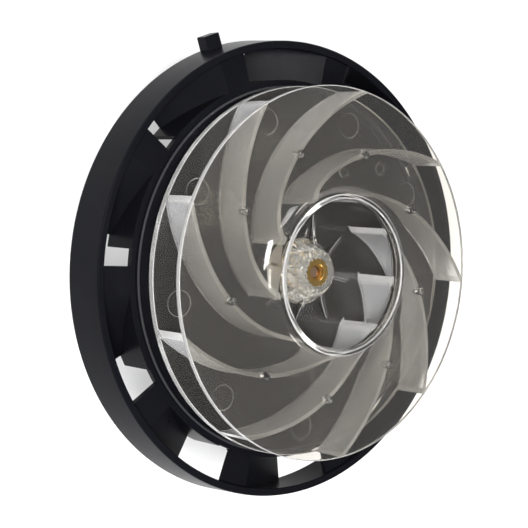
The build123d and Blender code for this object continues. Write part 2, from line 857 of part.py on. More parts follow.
# Impeller back plate: clear moulding with the hub, the gussets, the blades and the weld pins.
with BuildPart() as impeller_back_plate:
    with BuildSketch(Plane.XY.offset(plate_rear)):
        Circle(impeller_radius)
        Circle(boss_radius, mode=Mode.SUBTRACT)
    extrude(amount=plate_thickness)
    with BuildSketch(Plane.XZ):
        with BuildLine():
            Polyline(
                (hub_bore_radius, insert_rear),
                (boss_radius, insert_rear),
                (boss_radius, plate_rear),
                (hub_base_radius, plate_rear),
                (hub_base_radius, plate_front),
                (hub_front_radius, hub_front),
                (hub_bore_radius, hub_front),
                close=True,
            )
        make_face()
        fillet(vertices().group_by(Axis.Y)[-1].sort_by(Axis.X)[-1], radius=hub_round)
    revolve(axis=Axis.Z)
    with Locations((0, 0, plate_front)):
        with PolarLocations(mark_ring, blade_count, mark_angle):
            Cylinder(
                mark_radius,
                mark_depth,
                align=(Align.CENTER, Align.CENTER, Align.MAX),
                mode=Mode.SUBTRACT,
            )
        with Locations(
            around(inner_gate_ring, inner_gate_angle),
            around(outer_gate_ring, outer_gate_angle),
        ):
            Cylinder(gate_radius, gate_height, align=(Align.CENTER, Align.CENTER, Align.MIN))
    with PolarLocations(0, gusset_count, gusset_angle):
        add(gusset.part)
    with PolarLocations(0, blade_count):
        add(blade.part)
    with Locations((0, 0, shroud_rear - weld_pin_root)):
        with PolarLocations(weld_pin_ring, blade_count, blade_line_angle(weld_pin_ring)):
            Cylinder(
                weld_pin_radius,
                shroud_thickness + weld_pin_root + weld_pin_proud,
                align=(Align.CENTER, Align.CENTER, Align.MIN),
            )
impeller_back_plate.part.label = "impeller_back_plate"
export_step(impeller_back_plate.part, "parts/impeller_back_plate.step")

# Impeller shroud: clear moulding, flat outside and drawn up into the eye's collar.
with BuildPart() as impeller_shroud:
    with BuildSketch(Plane.XZ):
        with BuildLine():
            inside = EllipticalCenterArc(
                (eye_radius + eye_flare_width, shroud_rear + eye_flare_height),
                eye_flare_width,
                eye_flare_height,
                half_turn,
                arc_size=quarter_turn,
            )
            outside = EllipticalCenterArc(
                (eye_radius + eye_wall + eye_flare_width, shroud_front + eye_flare_height),
                eye_flare_width,
                eye_flare_height,
                half_turn,
                arc_size=quarter_turn,
            )
            Polyline(
                inside @ 0,
                (eye_radius, eye_front),
                (eye_radius + eye_wall, eye_front),
                outside @ 0,
            )
            Polyline(
                inside @ 1,
                (impeller_radius, shroud_rear),
                (impeller_radius, shroud_front),
                outside @ 1,
            )
        make_face()
        fillet(vertices().group_by(Axis.Y)[-1], radius=eye_edge_round)
        fillet(vertices().group_by(Axis.X)[-1], radius=shroud_edge_round)
    revolve(axis=Axis.Z)
    with Locations((0, 0, shroud_rear - cut_overrun)):
        with PolarLocations(weld_pin_ring, blade_count, blade_line_angle(weld_pin_ring)):
            Cylinder(
                weld_pin_radius + weld_pin_gap,
                shroud_thickness + 2 * cut_overrun,
                align=(Align.CENTER, Align.CENTER, Align.MIN),
                mode=Mode.SUBTRACT,
            )
impeller_shroud.part.label = "impeller_shroud"
export_step(impeller_shroud.part, "parts/impeller_shroud.step")

# Rear cover: plastic cap over the can's rear end and the controller board.
with BuildPart() as rear_cover:
    with BuildSketch(Plane.XZ):
        with BuildLine():
            Polyline(
                (0, cover_rear),
                (cover_outer_radius, cover_rear),
                (cover_outer_radius, cover_front),
                (cover_inner_radius, cover_front),
                (cover_inner_radius, cover_inside),
                (0, cover_inside),
                close=True,
            )
        make_face()
        fillet(vertices().group_by(Axis.Y)[0].sort_by(Axis.X)[-1], radius=cover_round)
    revolve(axis=Axis.Z)
    with BuildSketch(Plane.XY.offset(cover_rear)):
        Circle(rubber_radius + rubber_lip_gap + rubber_lip_wall)
        Circle(rubber_radius + rubber_lip_gap, mode=Mode.SUBTRACT)
    extrude(amount=-rubber_lip_height)
    with Locations((0, 0, cover_rear)):
        with PolarLocations(cover_screw_ring, cover_screw_count, cover_screw_angle):
            Cylinder(
                cover_post_radius,
                board_rear - cover_rear,
                align=(Align.CENTER, Align.CENTER, Align.MIN),
            )
            Cylinder(
                cover_screw_radius + cover_screw_clearance,
                board_rear - cover_rear,
                align=(Align.CENTER, Align.CENTER, Align.MIN),
                mode=Mode.SUBTRACT,
            )
            Cylinder(
                cover_screw_head_radius + cover_head_gap,
                cover_screw_head_height + cover_head_gap,
                align=(Align.CENTER, Align.CENTER, Align.MIN),
                mode=Mode.SUBTRACT,
            )
    # Vents in the side wall, over the board
    with Locations((0, 0, cover_inside + vent_floor_gap)):
        with PolarLocations(
            (cover_inner_radius + cover_outer_radius) / 2,
            vent_count,
            vent_start_angle,
            vent_sweep,
            endpoint=True,
        ):
            Box(
                2 * cover_wall,
                vent_width,
                vent_height,
                align=(Align.CENTER, Align.CENTER, Align.MIN),
                mode=Mode.SUBTRACT,
            )
    # Window for the connector
    with Locations((0, -(cover_inner_radius + cover_outer_radius) / 2, board_rear + connector_window_gap)):
        Box(
            connector_width + 2 * connector_window_gap,
            3 * cover_wall,
            connector_height + 2 * connector_window_gap,
            align=(Align.CENTER, Align.CENTER, Align.MAX),
            mode=Mode.SUBTRACT,
        )
rear_cover.part.label = "rear_cover"
export_step(rear_cover.part, "parts/rear_cover.step")

# Rear rubber mount: a puck inside the cover's lip, which the unit stands on.
with BuildPart() as rear_rubber_mount:
    with BuildSketch(Plane.XZ):
        with BuildLine():
            Polyline(
                (0, 0),
                (rubber_radius - rubber_chamfer, 0),
                (rubber_radius, rubber_chamfer),
                (rubber_radius, rubber_thickness),
                (0, rubber_thickness),
                close=True,
            )
        make_face()
        for groove_ring in rubber_groove_rings:
            with Locations((groove_ring, 0)):
                Rectangle(
                    rubber_groove_width,
                    2 * rubber_groove_depth,
                    mode=Mode.SUBTRACT,
                )
    revolve(axis=Axis.Z)
rear_rubber_mount.part.label = "rear_rubber_mount"
export_step(rear_rubber_mount.part, "parts/rear_rubber_mount.step")

# Controller board: round glass-fibre board on the cover's posts.
with BuildPart() as controller_board:
    with BuildSketch(Plane.XY.offset(board_rear)):
        Circle(board_radius)
        with PolarLocations(cover_screw_ring, cover_screw_count, cover_screw_angle):
            Circle(cover_screw_radius + cover_screw_clearance, mode=Mode.SUBTRACT)
        with PolarLocations(phase_ring, phase_count, phase_angle):
            Circle(phase_pin_radius + phase_pin_hole_gap, mode=Mode.SUBTRACT)
        with Locations((0, connector_pin_tail / 2 - connector_inner_radius)):
            with GridLocations(connector_pin_pitch, 0, connector_pin_count, 1):
                Rectangle(
                    connector_pin_size + 2 * connector_pin_hole_gap,
                    connector_pin_size + 2 * connector_pin_hole_gap,
                    mode=Mode.SUBTRACT,
                )
    extrude(amount=board_thickness)
controller_board.part.label = "controller_board"
export_step(controller_board.part, "parts/controller_board.step")

# Board spacers: three sleeves round the cover screws, between the board and the can's floor.
with BuildPart() as board_spacers:
    with BuildSketch(Plane.XY.offset(board_front)):
        with PolarLocations(cover_screw_ring, cover_screw_count, cover_screw_angle):
            Circle(cover_post_radius)
            Circle(cover_screw_radius + cover_screw_clearance, mode=Mode.SUBTRACT)
    extrude(amount=can_rear - board_front)
board_spacers.part.label = "board_spacers"
export_step(board_spacers.part, "parts/board_spacers.step")

# Rear cover screws: three, from behind through cover, board and spacers into the can's floor.
with BuildPart() as rear_cover_screws:
    with Locations((0, 0, cover_rear + cover_head_gap)):
        with PolarLocations(cover_screw_ring, cover_screw_count, cover_screw_angle):
            Cylinder(
                cover_screw_head_radius,
                cover_screw_head_height,
                align=(Align.CENTER, Align.CENTER, Align.MIN),
            )
            Cylinder(
                cover_screw_radius,
                can_floor - cover_rear - cover_head_gap,
                align=(Align.CENTER, Align.CENTER, Align.MIN),
            )
rear_cover_screws.part.label = "rear_cover_screws"
export_step(rear_cover_screws.part, "parts/rear_cover_screws.step")

# Power transistors: six, round the board's front face.
with BuildPart() as power_transistors:
    with Locations((0, 0, board_front)):
        with PolarLocations(transistor_ring, transistor_count):
            Box(
                transistor_length,
                transistor_width,
                transistor_height,
                align=(Align.CENTER, Align.CENTER, Align.MIN),
            )
power_transistors.part.label = "power_transistors"
export_step(power_transistors.part, "parts/power_transistors.step")

# Control chip: in the middle of the board's front face.
with BuildPart() as control_chip:
    with BuildSketch(Plane.XY.offset(board_front)):
        Rectangle(chip_size, chip_size)
    extrude(amount=chip_height)
control_chip.part.label = "control_chip"
export_step(control_chip.part, "parts/control_chip.step")

# Smoothing capacitors: two cans that lie against the board's rear face.
with BuildPart() as smoothing_capacitors:
    capacitor_plane = Plane(
        origin=(0, capacitor_offset, board_rear - capacitor_radius), x_dir=(1, 0, 0), z_dir=(0, 1, 0)
    )
    with BuildSketch(capacitor_plane):
        with GridLocations(2 * capacitor_spread, 0, 2, 1):
            Circle(capacitor_radius)
    extrude(amount=capacitor_length / 2, both=True)
    fillet(edges().filter_by(GeomType.CIRCLE), radius=capacitor_round)
smoothing_capacitors.part.label = "smoothing_capacitors"
export_step(smoothing_capacitors.part, "parts/smoothing_capacitors.step")

# Shunt resistors: three, on the board's rear face.
with BuildPart() as shunt_resistors:
    with Locations((0, 0, board_rear)):
        with PolarLocations(shunt_ring, shunt_count, shunt_start_angle, shunt_sweep, endpoint=True):
            Box(shunt_length, shunt_width, shunt_height, align=(Align.CENTER, Align.CENTER, Align.MAX))
shunt_resistors.part.label = "shunt_resistors"
export_step(shunt_resistors.part, "parts/shunt_resistors.step")

# Connector housing: socket on the board's rear face, open outwards through the cover's window.
with BuildPart() as connector_housing:
    connector_length = connector_outer_radius - connector_inner_radius
    with Locations((0, -connector_inner_radius, board_rear)):
        Box(
            connector_width,
            connector_length,
            connector_height,
            align=(Align.CENTER, Align.MAX, Align.MAX),
        )
    fillet(edges().filter_by(Axis.Y), radius=connector_edge_round)
    with Locations((0, -connector_inner_radius - connector_back, board_rear - connector_wall)):
        Box(
            connector_width - 2 * connector_wall,
            connector_length - connector_back,
            connector_height - 2 * connector_wall,
            align=(Align.CENTER, Align.MAX, Align.MAX),
            mode=Mode.SUBTRACT,
        )
    with Locations((0, -connector_inner_radius - connector_back / 2, board_rear - connector_height / 2)):
        with GridLocations(connector_pin_pitch, 0, connector_pin_count, 1):
            Box(
                connector_pin_size + 2 * seat_fit,
                2 * connector_back,
                connector_pin_size + 2 * seat_fit,
                mode=Mode.SUBTRACT,
            )
connector_housing.part.label = "connector_housing"
export_step(connector_housing.part, "parts/connector_housing.step")

# Connector pins: four square pins bent up through the board.
with BuildPart() as connector_pins:
    pin_tip_radius = connector_outer_radius - connector_pin_recess
    pin_bend_radius = connector_inner_radius - connector_pin_tail / 2
    pin_middle = board_rear - connector_height / 2
    with Locations((0, -(pin_bend_radius - connector_pin_size / 2), pin_middle)):
        with GridLocations(connector_pin_pitch, 0, connector_pin_count, 1):
            Box(
                connector_pin_size,
                pin_tip_radius - pin_bend_radius + connector_pin_size / 2,
                connector_pin_size,
                align=(Align.CENTER, Align.MAX, Align.CENTER),
            )
    with Locations((0, -pin_bend_radius, pin_middle - connector_pin_size / 2)):
        with GridLocations(connector_pin_pitch, 0, connector_pin_count, 1):
            Box(
                connector_pin_size,
                connector_pin_size,
                board_front + connector_pin_stub - pin_middle + connector_pin_size / 2,
                align=(Align.CENTER, Align.CENTER, Align.MIN),
            )
connector_pins.part.label = "connector_pins"
export_step(connector_pins.part, "parts/connector_pins.step")
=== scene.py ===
import math

import bmesh
import bpy
from mathutils import Matrix, Vector


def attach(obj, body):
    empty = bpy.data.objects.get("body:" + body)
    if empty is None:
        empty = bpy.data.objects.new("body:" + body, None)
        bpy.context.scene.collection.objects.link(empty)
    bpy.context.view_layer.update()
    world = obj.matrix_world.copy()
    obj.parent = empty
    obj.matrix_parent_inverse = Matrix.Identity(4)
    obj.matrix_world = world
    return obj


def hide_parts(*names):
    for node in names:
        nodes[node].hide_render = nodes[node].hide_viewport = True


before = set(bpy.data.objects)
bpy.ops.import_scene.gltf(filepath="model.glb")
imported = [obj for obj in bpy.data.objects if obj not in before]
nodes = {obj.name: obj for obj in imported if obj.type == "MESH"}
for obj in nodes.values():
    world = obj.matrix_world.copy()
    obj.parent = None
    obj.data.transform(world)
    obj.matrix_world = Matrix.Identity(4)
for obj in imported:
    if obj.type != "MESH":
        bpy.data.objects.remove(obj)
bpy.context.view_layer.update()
mm = 0.001

# Camera: in front of the air inlet and to its left, where the photograph was taken from.
# Its place, turn and lens were fitted to the round edges of the frame and of the impeller.
camera_place = Vector((-338.8, 26.2, 453.9)) * mm
camera_right = Vector((0.7768, 0.0378, 0.6286))
camera_up = Vector((0, 0.9982, -0.0600))
lens_in_pixels = 1600
photo_width = 528
sensor_width = 36
nearest_shown = 10

camera_data = bpy.data.cameras.new("photo_camera")
camera_data.sensor_width = sensor_width
camera_data.lens = lens_in_pixels / photo_width * sensor_width
camera_data.clip_start = nearest_shown * mm
camera = bpy.data.objects.new("photo_camera", camera_data)
camera_turn = Matrix((camera_right, camera_up, camera_right.cross(camera_up))).transposed()
camera.matrix_world = Matrix.Translation(camera_place) @ camera_turn.to_4x4()
bpy.context.scene.collection.objects.link(camera)
bpy.context.scene.camera = camera


# Shader signals: colours and roughness are written as sums of signals, and a finish is one call that fills
# the shader's sockets. Every pattern reads the place on the piece, so it stays put when the piece turns.
class Signal:
    """A shader socket that can stand in sums, so that 1 - mask adds its own Math node."""

    def __init__(self, socket):
        self.socket = socket

    def add_node(self, kind, settings, values, output=0):
        """A new node beside this socket, with its settings made first and then its sockets filled."""
        tree = self.socket.id_data
        node = tree.nodes.new(kind)
        for name, value in settings.items():
            if name == "stops":
                ramp = node.color_ramp.elements
                while len(ramp) < len(value):
                    ramp.new(1)
                for element, (position, colour) in zip(ramp, value):
                    element.position = position
                    element.color = (*colour, 1)
            else:
                setattr(node, name, value)
        for name, value in values.items():
            if isinstance(value, Signal):
                tree.links.new(value.socket, node.inputs[name])
            else:
                node.inputs[name].default_value = value
        return Signal(node.outputs[output])

    def count(self, operation, first, second):
        return self.add_node("ShaderNodeMath", {"operation": operation}, {0: first, 1: second})

    def __add__(self, other):
        return self.count("ADD", self, other)

    def __radd__(self, other):
        return self.count("ADD", other, self)

    def __sub__(self, other):
        return self.count("SUBTRACT", self, other)

    def __rsub__(self, other):
        return self.count("SUBTRACT", other, self)

    def __mul__(self, other):
        return self.count("MULTIPLY", self, other)

    def __rmul__(self, other):
        return self.count("MULTIPLY", other, self)

    def noise(self, scale, detail=2.0, roughness=0.5):
        """Noise of a size given by its scale per metre, read at this place."""
        values = {"Vector": self, "Scale": scale, "Detail": detail, "Roughness": roughness}
        return self.add_node("ShaderNodeTexNoise", {}, values)

    def bump(self, strength, distance):
        """The surface's normal, raised by this height."""
        values = {"Height": self, "Strength": strength, "Distance": distance}
        return self.add_node("ShaderNodeBump", {}, values)

    def blend(self, dark, light):
        """A colour between two others, by this share."""
        dark, light = (end if isinstance(end, Signal) else (*end, 1) for end in (dark, light))
        values = {"Factor": self, 6: dark, 7: light}
        return self.add_node("ShaderNodeMix", {"data_type": "RGBA"}, values, output=2)


def start_material(name):
    """A new material with an empty Principled shader, and the place on the piece as a signal."""
    material = bpy.data.materials.new(name)
    material.use_nodes = True
    tree = material.node_tree
    tree.nodes.clear()
    output = tree.nodes.new("ShaderNodeOutputMaterial")
    shader = tree.nodes.new("ShaderNodeBsdfPrincipled")
    tree.links.new(shader.outputs["BSDF"], output.inputs["Surface"])
    return material, Signal(tree.nodes.new("ShaderNodeTexCoord").outputs["Object"])


def set_surface(material, **values):
    """Fills the Principled shader's sockets; a name's underscores stand for spaces."""
    tree = material.node_tree
    shader = next(node for node in tree.nodes if node.type == "BSDF_PRINCIPLED")
    for name, value in values.items():
        socket = shader.inputs[name.replace("_", " ")]
        if isinstance(value, Signal):
            tree.links.new(value.socket, socket)
        else:
            socket.default_value = value


# Studio: a pale floor that runs out of view on all sides, a bright room and five soft square lamps.
# Two of the lamps show in glossy surfaces, and the other three light the blades without showing in them.
floor_half_size = 3.0
floor_form = bmesh.new()
bmesh.ops.create_grid(floor_form, x_segments=1, y_segments=1, size=floor_half_size)
floor_mesh = bpy.data.meshes.new("studio_floor")
floor_form.to_mesh(floor_mesh)
floor_form.free()
floor = bpy.data.objects.new("studio_floor", floor_mesh)
bpy.context.scene.collection.objects.link(floor)
floor_paint, floor_place = start_material("floor_paint")
floor_grain = floor_place.noise(12)
set_surface(
    floor_paint,
    Base_Color=floor_grain.blend((0.45, 0.45, 0.45), (0.47, 0.47, 0.47)),
    Roughness=0.9,
    Specular_IOR_Level=0.0,
    Emission_Color=(1, 1, 1, 1),
    Emission_Strength=0.34,
)
floor_mesh.materials.append(floor_paint)

room = bpy.data.worlds.new("studio_room")
room.use_nodes = True
room_light = room.node_tree.nodes["Background"]
room_light.inputs["Color"].default_value = (0.98, 0.99, 1.0, 1)
room_light.inputs["Strength"].default_value = 0.31
bpy.context.scene.world = room
bpy.context.scene.view_settings.view_transform = "Standard"


def add_lamp(name, place, aim, size, power, mirrored):
    """A square soft lamp in metres and watts that shines towards a point; mirrored lamps show in gloss."""
    data = bpy.data.lights.new(name, "AREA")
    data.size = size
    data.energy = power
    lamp = bpy.data.objects.new(name, data)
    lamp.location = place
    lamp.rotation_euler = (Vector(aim) - Vector(place)).to_track_quat("-Z", "Y").to_euler()
    lamp.visible_camera = False
    lamp.visible_glossy = mirrored
    bpy.context.scene.collection.objects.link(lamp)


object_middle = (0, 0, 0.05)
add_lamp("top_lamp", (-0.20, 0.70, 0.70), object_middle, 0.35, 2, True)
add_lamp("side_lamp", (-0.64, -0.12, 0.80), object_middle, 0.3, 20, False)
add_lamp("front_lamp", (-0.33, 0.18, 0.96), object_middle, 0.3, 8, True)
add_lamp("low_upper_lamp", (-0.08, 0.72, 0.12), object_middle, 0.25, 4, False)
add_lamp("low_lower_lamp", (-0.05, -0.72, 0.10), object_middle, 0.25, 9, False)


def dress(material, *names):
    """Gives a material to the model's own nodes."""
    for name in names:
        for place in nodes[name].material_slots:
            place.material = material


# Rear rubber mount and gasket: moulded black rubber. The mount is a puck that the motor stands on, pressed
# inside the rear cover's lip, and the gasket is clamped between the deck and the front bracket.
rubber, rubber_place = start_material("moulded_rubber")
rubber_grain = rubber_place.noise(900, 4)
set_surface(
    rubber,
    Base_Color=rubber_place.noise(60).blend((0.014, 0.014, 0.015), (0.028, 0.027, 0.027)),
    Roughness=0.62 + 0.2 * rubber_grain,
    Normal=rubber_grain.bump(0.25, 0.1 * mm),
)
dress(rubber, "rear_rubber_mount", "motor_gasket")

# Rear cover: a moulded black cap with vents in its side wall and a window for the socket.
# It is pushed over the can's rear end and held by three screws through the controller board.
cover_plastic, cover_place = start_material("cover_plastic")
cover_grain = cover_place.noise(2600, 3)
set_surface(
    cover_plastic,
    Base_Color=cover_place.noise(45).blend((0.016, 0.016, 0.018), (0.026, 0.026, 0.029)),
    Roughness=0.36 + 0.16 * cover_place.noise(300, 4),
    Normal=cover_grain.bump(0.12, 0.05 * mm),
)
dress(cover_plastic, "rear_cover")

# Controller board: green lacquered glass-fibre, held between the cover's posts and three tin-plated spacers.
# Its chips are moulded in black epoxy, its capacitors wear blue sleeves, and all of them are soldered on.
lacquer, lacquer_place = start_material("green_lacquer")
lacquer_weave = lacquer_place.noise(2200, 2)
set_surface(
    lacquer,
    Base_Color=lacquer_place.noise(400, 4).blend((0.008, 0.10, 0.035), (0.02, 0.19, 0.07)),
    Roughness=0.28 + 0.1 * lacquer_weave,
    Normal=lacquer_weave.bump(0.1, 0.05 * mm),
)
dress(lacquer, "controller_board")
chip_black, chip_place = start_material("chip_epoxy")
set_surface(
    chip_black,
    Base_Color=chip_place.noise(500).blend((0.020, 0.020, 0.021), (0.038, 0.037, 0.036)),
    Roughness=0.5 + 0.2 * chip_place.noise(3000, 3),
    Normal=chip_place.noise(5000, 2).bump(0.2, 0.03 * mm),
)
dress(chip_black, "power_transistors", "control_chip", "shunt_resistors")
sleeve, sleeve_place = start_material("capacitor_sleeve")
set_surface(
    sleeve,
    Base_Color=sleeve_place.noise(200).blend((0.030, 0.040, 0.11), (0.045, 0.055, 0.14)),
    Roughness=0.22 + 0.1 * sleeve_place.noise(600),
)
dress(sleeve, "smoothing_capacitors")
tin, tin_place = start_material("tin_plate")
set_surface(
    tin,
    Base_Color=tin_place.noise(700).blend((0.62, 0.60, 0.55), (0.78, 0.77, 0.73)),
    Metallic=1.0,
    Roughness=0.25 + 0.15 * tin_place.noise(2500, 3),
)
dress(tin, "board_spacers", "connector_pins", "phase_pins")

# Nylon pieces: the connector housing, both insulators and the bearings' cages are moulded from pale nylon.
# The insulators are pushed onto the stator's ends, and the cages snap in between the balls.
nylon, nylon_place = start_material("pale_nylon")
nylon_grain = nylon_place.noise(1800, 3)
set_surface(
    nylon,
    Base_Color=nylon_place.noise(120).blend((0.66, 0.64, 0.57), (0.76, 0.74, 0.68)),
    Roughness=0.42 + 0.12 * nylon_grain,
    Subsurface_Weight=0.1,
    Subsurface_Scale=0.5 * mm,
    Normal=nylon_grain.bump(0.1, 0.05 * mm),
)
dress(
    nylon,
    "connector_housing",
    "front_insulator",
    "rear_insulator",
    "front_bearing_cage",
    "rear_bearing_cage",
)

# Stator and rotor cores: thin steel sheets, punched and stacked, so that fine lines run round their sides.
# The stator's stack is pressed into the can, and the rotor's onto the shaft.
sheets, sheets_place = start_material("stacked_sheets")
sheet_lines = sheets_place.add_node(
    "ShaderNodeTexWave",
    {"wave_type": "BANDS", "bands_direction": "Z"},
    {"Vector": sheets_place, "Scale": 320, "Distortion": 0.4, "Detail": 1},
)
set_surface(
    sheets,
    Base_Color=sheet_lines.blend((0.16, 0.16, 0.17), (0.36, 0.36, 0.37)),
    Metallic=1.0,
    Roughness=0.34 + 0.14 * sheets_place.noise(800, 3),
    Normal=sheet_lines.bump(0.5, 0.08 * mm),
)
dress(sheets, "stator_core", "rotor_core")

# Coils: enamelled copper wire, wound on each of the stator's six teeth over the nylon insulators.
# The turns show as fine rings across the coil.
copper, copper_place = start_material("enamelled_copper")
wire_lines = copper_place.add_node(
    "ShaderNodeTexWave",
    {"wave_type": "RINGS", "rings_direction": "Z"},
    {"Vector": copper_place, "Scale": 420, "Distortion": 0.6, "Detail": 2},
)
set_surface(
    copper,
    Base_Color=wire_lines.blend((0.20, 0.06, 0.02), (0.58, 0.25, 0.09)),
    Metallic=0.85,
    Roughness=0.26 + 0.1 * copper_place.noise(900),
    Normal=wire_lines.bump(0.8, 0.15 * mm),
)
dress(copper, "stator_coils")

# Bearings, washer and shaft: hardened steel, ground in the direction in which it turns.
# The shaft's end in the insert's bore is painted warm: a painted reflection of the brass around it.
brass_reflection_start = 61.5
steel, steel_place = start_material("ground_steel")
steel_scratch = steel_place.add_node("ShaderNodeMapping", {}, {"Vector": steel_place, "Scale": (1, 1, 14)})
steel_grain = steel_scratch.noise(700, 4)
steel_height = steel_place.add_node("ShaderNodeSeparateXYZ", {}, {"Vector": steel_place}, output=2)
# Painted reflection: the shaft's tip above this height is tinted like the brass it mirrors.
painted_brass_reflection = steel_height.count("GREATER_THAN", steel_height, brass_reflection_start * mm)
steel_tone = steel_grain.blend((0.56, 0.56, 0.57), (0.72, 0.71, 0.70))
set_surface(
    steel,
    Base_Color=painted_brass_reflection.blend(steel_tone, (0.62, 0.40, 0.27)),
    Metallic=1.0,
    Roughness=0.14 + 0.16 * steel_grain,
    Normal=steel_grain.bump(0.06, 0.03 * mm),
)
dress(
    steel,
    "front_bearing_outer_ring",
    "front_bearing_inner_ring",
    "front_bearing_balls",
    "rear_bearing_outer_ring",
    "rear_bearing_inner_ring",
    "rear_bearing_balls",
    "preload_washer",
    "motor_shaft",
)

# Magnets: four curved segments of sintered grey magnet material, ground to size.
# They are glued round the rotor core between the two balance discs.
sinter, sinter_place = start_material("sintered_magnet")
set_surface(
    sinter,
    Base_Color=sinter_place.noise(1200, 5).blend((0.10, 0.10, 0.11), (0.20, 0.20, 0.21)),
    Metallic=0.7,
    Roughness=0.45 + 0.15 * sinter_place.noise(2500, 3),
)
dress(sinter, "rotor_magnets")

# Front bracket: the motor's end bell, die-cast in aluminium, with the grainy skin that the die leaves.
# It holds the front bearing, and four screws through its ears fix it to the deck.
casting, casting_place = start_material("cast_aluminium")
cast_grain = casting_place.noise(1100, 5, 0.6)
set_surface(
    casting,
    Base_Color=casting_place.noise(90, 3).blend((0.50, 0.50, 0.51), (0.64, 0.64, 0.64)),
    Metallic=1.0,
    Roughness=0.40 + 0.18 * cast_grain,
    Normal=cast_grain.bump(0.35, 0.08 * mm),
)
dress(casting, "front_bracket")

# Diffuser frame: one satin black moulding with a drafted rim, a closed deck and ten sloping air passages.
# Every passage runs down behind its lip to a window, and a tab on the rim's wall locates the frame.
rim_front = 50.0
rim_rear = 35.1
rim_front_radius = 75.0
rim_rear_radius = 75.75
rim_wall = 2.5
deck_front = 48.5
deck_rear = 46.5
deck_bore = 10.5
boss_radius = 13.0
boss_front = 51.0
ridge_radius = 60.0
ridge_width = 0.8
guide_radius = 62.3
guide_wall = 1.5
rim_round = 0.5
rim_rear_round = 0.4
crest_round = 0.2
boss_round = 0.4
boss_bore_round = 0.3
wall_overlap = 0.4
crest_highlight_depth = 0.25
crest_highlight_width = 1.0
frame_steps = 240
black, black_place = start_material("satin_black_plastic")
black_grain = black_place.noise(2400, 3)
black_flow = black_place.noise(55, 3)
black_tone = black_flow.blend((0.0024, 0.0025, 0.0037), (0.0046, 0.0047, 0.0058))
black_height = black_place.add_node("ShaderNodeSeparateXYZ", {}, {"Vector": black_place}, output=2)
flat_place = black_place.add_node(
    "ShaderNodeVectorMath", {"operation": "MULTIPLY"}, {0: black_place, 1: (1, 1, 0)}
)
black_reach = flat_place.add_node("ShaderNodeVectorMath", {"operation": "LENGTH"}, {0: flat_place}, output=1)
# Painted highlight: the ridge's crest is given a lighter grey, standing in for the thin bright line where it
# catches the light.
painted_crest_highlight = black_height.count("GREATER_THAN", black_height, (rim_front - crest_highlight_depth) * mm)
painted_crest_highlight = painted_crest_highlight * black_reach.count("LESS_THAN", black_reach, (ridge_radius + crest_highlight_width) * mm)
painted_crest_highlight = painted_crest_highlight * black_reach.count("GREATER_THAN", black_reach, (ridge_radius - crest_highlight_width) * mm)
set_surface(
    black,
    Base_Color=painted_crest_highlight.blend(black_tone, (0.022, 0.022, 0.024)),
    Roughness=0.24 + 0.12 * black_place.noise(240, 5),
    Specular_IOR_Level=0.028,
    Normal=black_grain.bump(0.02, 0.05 * mm),
)


def turned(outline, rounds, steps, closed=True):
    """A form turned about the shaft's axis from an outline of radius and height, with rounded corners.

    rounds gives a corner's number its radius and how many faces go round it.
    """
    form = bmesh.new()
    corners = [form.verts.new((radius * mm, 0, height * mm)) for radius, height in outline]
    ends = corners[1:] + corners[:1] if closed else corners[1:]
    for corner, end in zip(corners, ends):
        form.edges.new((corner, end))
    for index, (radius, segments) in rounds.items():
        bmesh.ops.bevel(
            form,
            geom=[corners[index]],
            offset=radius * mm,
            segments=segments,
            profile=0.5,
            affect="VERTICES",
            material=-1,
        )
    bmesh.ops.spin(
        form,
        geom=form.verts[:] + form.edges[:],
        cent=(0, 0, 0),
        axis=(0, 0, 1),
        dvec=(0, 0, 0),
        angle=math.tau,
        steps=steps,
        use_merge=True,
    )
    bmesh.ops.remove_doubles(form, verts=form.verts, dist=1e-7)
    bmesh.ops.recalc_face_normals(form, faces=form.faces)
    return form


def add_form(whole, part, turn=0.0):
    """Puts a part's closed shell into another form, turned about the shaft's axis by an angle in degrees."""
    mesh = bpy.data.meshes.new("shell")
    part.to_mesh(mesh)
    mesh.transform(Matrix.Rotation(math.radians(turn), 4, "Z"))
    whole.from_mesh(mesh)
    bpy.data.meshes.remove(mesh)


def polar_slab(first_angle, last_angle, angle_steps, inner, outer, bottom, top):
    """A closed slab round the axis; bottom and top give its heights from the share of the way round."""
    form = bmesh.new()
    bmesh.ops.create_grid(form, x_segments=angle_steps, y_segments=1, size=0.5)
    for vert in form.verts:
        share = vert.co.x + 0.5
        vert.co.z = bottom(share) * mm
    sheet = bmesh.ops.extrude_face_region(form, geom=form.faces[:])
    lifted = [item for item in sheet["geom"] if isinstance(item, bmesh.types.BMVert)]
    for vert in lifted:
        vert.co.z = top(vert.co.x + 0.5) * mm
    for vert in form.verts:
        angle = math.radians(first_angle + (last_angle - first_angle) * (vert.co.x + 0.5))
        radius = inner if vert.co.y < 0 else outer
        vert.co.x = radius * mm * math.cos(angle)
        vert.co.y = radius * mm * math.sin(angle)
    bmesh.ops.recalc_face_normals(form, faces=form.faces)
    return form


def upright_post(radius, rear, front, place, segments):
    """A closed round post at a place in the plane across the shaft."""
    form = bmesh.new()
    height = (front - rear) * mm
    bmesh.ops.create_cone(
        form,
        cap_ends=True,
        segments=segments,
        radius1=radius * mm,
        radius2=radius * mm,
        depth=height,
        matrix=Matrix.Translation((place[0] * mm, place[1] * mm, rear * mm + height / 2)),
    )
    return form


def around(radius, angle):
    """The place at a radius and an angle in degrees about the shaft's axis."""
    return radius * math.cos(math.radians(angle)), radius * math.sin(math.radians(angle))


